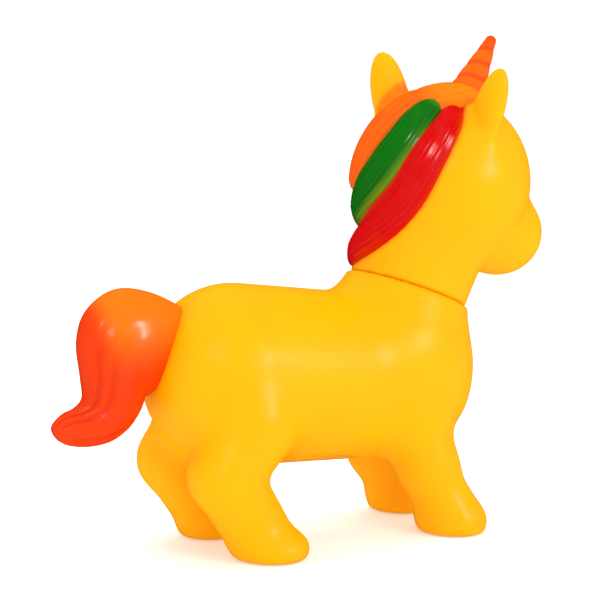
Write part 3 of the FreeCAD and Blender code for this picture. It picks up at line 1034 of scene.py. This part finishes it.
@dataclass(frozen=True)
class Horn:
    """A tapered horn with shallow spiral grooves and a round tip, as offsets from the skull's centre."""

    root: Triple = (6.0, 0.0, 28.0)
    tip: Triple = (23.5, 0.0, 54.5)
    root_r: float = 8.6
    tip_r: float = 2.2
    turns: float = 5.0
    groove: float = 0.28
    rows: int = 140
    around: int = 56

    def dress(self, head: Head) -> Object:
        """Build the horn."""
        root, tip = head.spot(self.root), head.spot(self.tip)
        axis = unit(tip - root)
        length = float(np.linalg.norm(tip - root)) + self.tip_r
        side = unit(np.cross(axis, (0, 1, 0)))
        other = np.cross(axis, side)
        share = np.linspace(0, 1, self.rows)[:, None]
        angle = ring_angles(self.around)
        taper = self.root_r + (self.tip_r - self.root_r) * np.minimum(share * length / (length - self.tip_r), 1)
        cap = np.clip((share * length - (length - self.tip_r)) / self.tip_r, 0, 1)
        radius = taper * np.sqrt(np.clip(1 - cap ** 2, 0.002, 1))
        phase = 2 * math.pi * self.turns * share ** 0.9 - angle
        valley = (0.5 + 0.5 * np.cos(phase)) ** 2.5 * (1 - smoothstep(0.86, 0.97, share))
        radius = radius - self.groove * valley * (0.5 + 0.5 * taper / self.root_r)
        ring = side * np.cos(angle)[..., None] + other * np.sin(angle)[..., None]
        rings = root + axis * (share * length)[..., None] + ring * radius[..., None]
        finish = Sprayed("horn_paint", Paint.HORN_ORANGE, Paint.FLAME, Paint.LIGHT_ORANGE, Paint.FLAME, 0.7)
        # The groove trait darkens the spiral grooves as painted shade in the horn's finish.
        return add_piece("horn_cone", "head", ["horn"], ringed(rings), finish.material(),
                         {"along": with_tips(share + 0 * valley), "groove": with_tips(valley),
                          "pale": with_tips(0 * valley)})


@dataclass(frozen=True)
class Eye:
    """A printed oval eye that follows the face."""

    offset: Triple = (26.5, 19.0, 3.0)
    half_width: float = 4.8
    half_height: float = 6.6
    edge_lift: float = 0.05
    lift: float = 0.12
    sunk: float = 0.5
    rows: int = 14
    back_rows: int = 5
    around: int = 40

    def dress(self, head: Head, bare: Field, side: int, name: str, finish: Material) -> Object:
        """Build the eye on one side, 1 for the animal's left and -1 for its right."""
        middle = bare.drape(head.spot(self.offset, side)[None])[0]
        out = bare.slope(middle[None])[0]
        up = unit(np.array((0, 0, 1.0)) - out * out[2])
        across = np.cross(up, out)
        reach = np.concatenate([np.linspace(0.02, 1, self.rows), np.linspace(1, 0.02, self.back_rows)])[:, None]
        angle = ring_angles(self.around)
        x, z = reach * np.cos(angle), reach * np.sin(angle)
        plate = middle + across * (x * self.half_width)[..., None] + up * (z * self.half_height)[..., None]
        on_face = bare.drape(plate)
        in_front = (np.arange(len(reach)) < self.rows)[:, None]
        edge = np.sqrt(np.clip(1 - reach ** 6, 0, 1))
        height = np.where(in_front, self.edge_lift + self.lift * edge, -self.sunk)
        rings = on_face + bare.slope(on_face) * height[..., None]
        rings, x, z = rings[:, ::-1], x[:, ::-1], z[:, ::-1]
        return add_piece("eye_print_" + name, "head", ["eye_" + name], ringed(rings), finish,
                         {"eye_across": with_tips(x * side), "eye_up": with_tips(z)})


@dataclass(frozen=True)
class Smile:
    """The printed line of the mouth round the front of the muzzle."""

    corner: Triple = (44.0, 9.0, -23.0)
    middle: Triple = (50.0, 0.0, -28.0)
    half_width: float = 0.55
    lift: float = 0.10
    sunk: float = 0.3
    sag: Triple = (2.0, 0.0, -1.6)
    rows: int = 48
    around: int = 12
    end_reach: float = 0.12

    def dress(self, head: Head, bare: Field) -> Object:
        """Build the line."""
        left = np.array(self.corner)
        between = (left + self.middle) / 2 + self.sag
        stations = np.array([left, between, self.middle, between * (1, -1, 1), left * (1, -1, 1)])
        spine = bare.drape(head.centre + smooth_path(stations, self.rows))
        up, sideways = along_surface(bare, spine)
        width = self.half_width * rounded_ends(np.linspace(0, 1, self.rows), self.end_reach)
        angle = math.pi - ring_angles(self.around)
        rings = spine[:, None, :] + sideways[:, None, :] * (width[:, None] * np.cos(angle))[..., None]
        height = np.where(np.sin(angle) > 0, self.lift, self.sunk) * np.sin(angle)
        rings = rings + up[:, None, :] * height[..., None]
        bench = Bench("mouth_print")
        wear = bench.noise(1.5, 3.0)
        color = bench.blend(wear.between(0.45, 0.8) * 0.5, (0.16, 0.03, 0.0, 1.0), (0.30, 0.07, 0.0, 1.0))
        finish = bench.finish(color, 0.3 + wear * 0.1)
        return add_piece("mouth_print", "head", [], ringed(rings), finish)


# ---- studio --------------------------------------------------------------------------------------------------


@dataclass(frozen=True)
class Studio:
    """A pale floor, soft lights and the camera."""

    yaw: float = 31.3
    pitch: float = 6.0
    distance: float = 650.0
    height: float = 158.0
    aim_x: float = -15.0
    lens: float = 105.3
    shift_x: float = 0.0017
    floor_half: float = 8.0
    floor_glow: float = 0.28
    floor_lines: int = 41
    middle_z: float = 0.09       # height of the figure's middle, in metres
    sky: float = 1.06

    def floor(self) -> None:
        """Lay a wide flat floor that glows faintly, as a light table does."""
        bench = Bench("floor_paper")
        tone = bench.noise(60.0, 2.0)
        color = bench.blend(tone * 0.2, (0.93, 0.93, 0.93, 1.0), (0.91, 0.91, 0.91, 1.0))
        material = bench.finish(color, 0.8, None, Emission_Strength=self.floor_glow)
        steps = np.linspace(-1, 1, self.floor_lines)
        grid = [(x * self.floor_half, y * self.floor_half, -0.0003) for x in steps for y in steps]
        n = len(steps)
        faces = [(i * n + j, (i + 1) * n + j, (i + 1) * n + j + 1, i * n + j + 1)
                 for i in range(n - 1) for j in range(n - 1)]
        floor = linked("floor", mesh_of("floor", grid, faces, material))
        floor.visible_glossy = False

    def aimed(self, name: str, data: bpy.types.ID, place: Sequence[float], view: Vector) -> Object:
        """Put a lamp or camera in the scene at a place, in metres, looking along view."""
        made = linked(name, data)
        made.location = place
        made.rotation_mode = "QUATERNION"
        made.rotation_quaternion = view.to_track_quat("-Z", "Y")
        return made

    def lamp(self, name: str, place: Triple, size: float, power: float, mirrored: bool) -> None:
        """Hang one square soft lamp, in metres and watts, aimed at the figure's middle.

        A mirrored lamp is only seen as a glint, and any other only gives light.
        """
        data = bpy.data.lights.new(name, "AREA")
        data.shape = "SQUARE"
        data.size = size
        data.energy = power
        lamp = self.aimed(name, data, place, Vector((0, 0, self.middle_z)) - Vector(place))
        lamp.visible_glossy, lamp.visible_diffuse = mirrored, not mirrored

    def world(self) -> None:
        """Light everything evenly from all round, without showing that light in glossy reflections."""
        world = bpy.data.worlds.new("studio")
        world.use_nodes = True
        glow = world.node_tree.nodes["Background"]
        glow.inputs["Color"].default_value = (1, 1, 1, 1)
        glow.inputs["Strength"].default_value = self.sky
        world.cycles_visibility.glossy = False
        bpy.context.scene.world = world

    def camera(self) -> None:
        """Set the camera behind the figure's right side, a little above it."""
        yaw, pitch = math.radians(self.yaw), math.radians(self.pitch)
        back = np.array((-math.sin(yaw), -math.cos(yaw), 0.0))
        place = in_frame(back * self.distance + (self.aim_x, 0, self.height))
        view = Vector((*(-back[:2] * math.cos(pitch)), -math.sin(pitch)))
        data = bpy.data.cameras.new("camera")
        data.lens = self.lens
        data.shift_x = self.shift_x
        data.clip_start = 0.01
        bpy.context.scene.camera = self.aimed("camera", data, place.tolist(), view)

    def build(self) -> None:
        """Set up the whole studio."""
        self.floor()
        self.world()
        self.lamp("light", (0.1, -1.0, 0.75), 0.5, 3.0, mirrored=False)
        self.lamp("top", (0.0, 0.3, 1.2), 0.8, 5.0, mirrored=False)
        self.lamp("side_glint", (-0.75, -0.95, 0.75), 0.22, 4.0, mirrored=True)
        self.lamp("left_glint", (0.455, -0.95, 0.37), 0.10, 4.5, mirrored=True)
        self.lamp("right_glint", (0.505, -0.95, 0.41), 0.08, 2.6, mirrored=True)
        self.camera()
        bpy.context.scene.view_settings.view_transform = "Standard"
        bpy.context.scene.view_settings.look = "None"


def main() -> None:
    """Build every sub-assembly in order."""
    logging.basicConfig(level=logging.INFO, format="%(message)s")
    vinyl = Vinyl().material()
    body, tail, head, mane = Body(), Tail(), Head(), Mane()
    body.dress(vinyl, tail)
    tail.dress()
    Stopper(body).dress()
    head.dress(vinyl, mane)
    mane.dress(head)
    Horn().dress(head)
    bare, eye_finish = head.bare(), PrintedEye().material()
    for name, side in (("left", 1), ("right", -1)):
        Eye().dress(head, bare, side, name, eye_finish)
    Smile().dress(head, bare)
    Studio().build()
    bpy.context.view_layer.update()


if __name__ == "__main__":
    main()
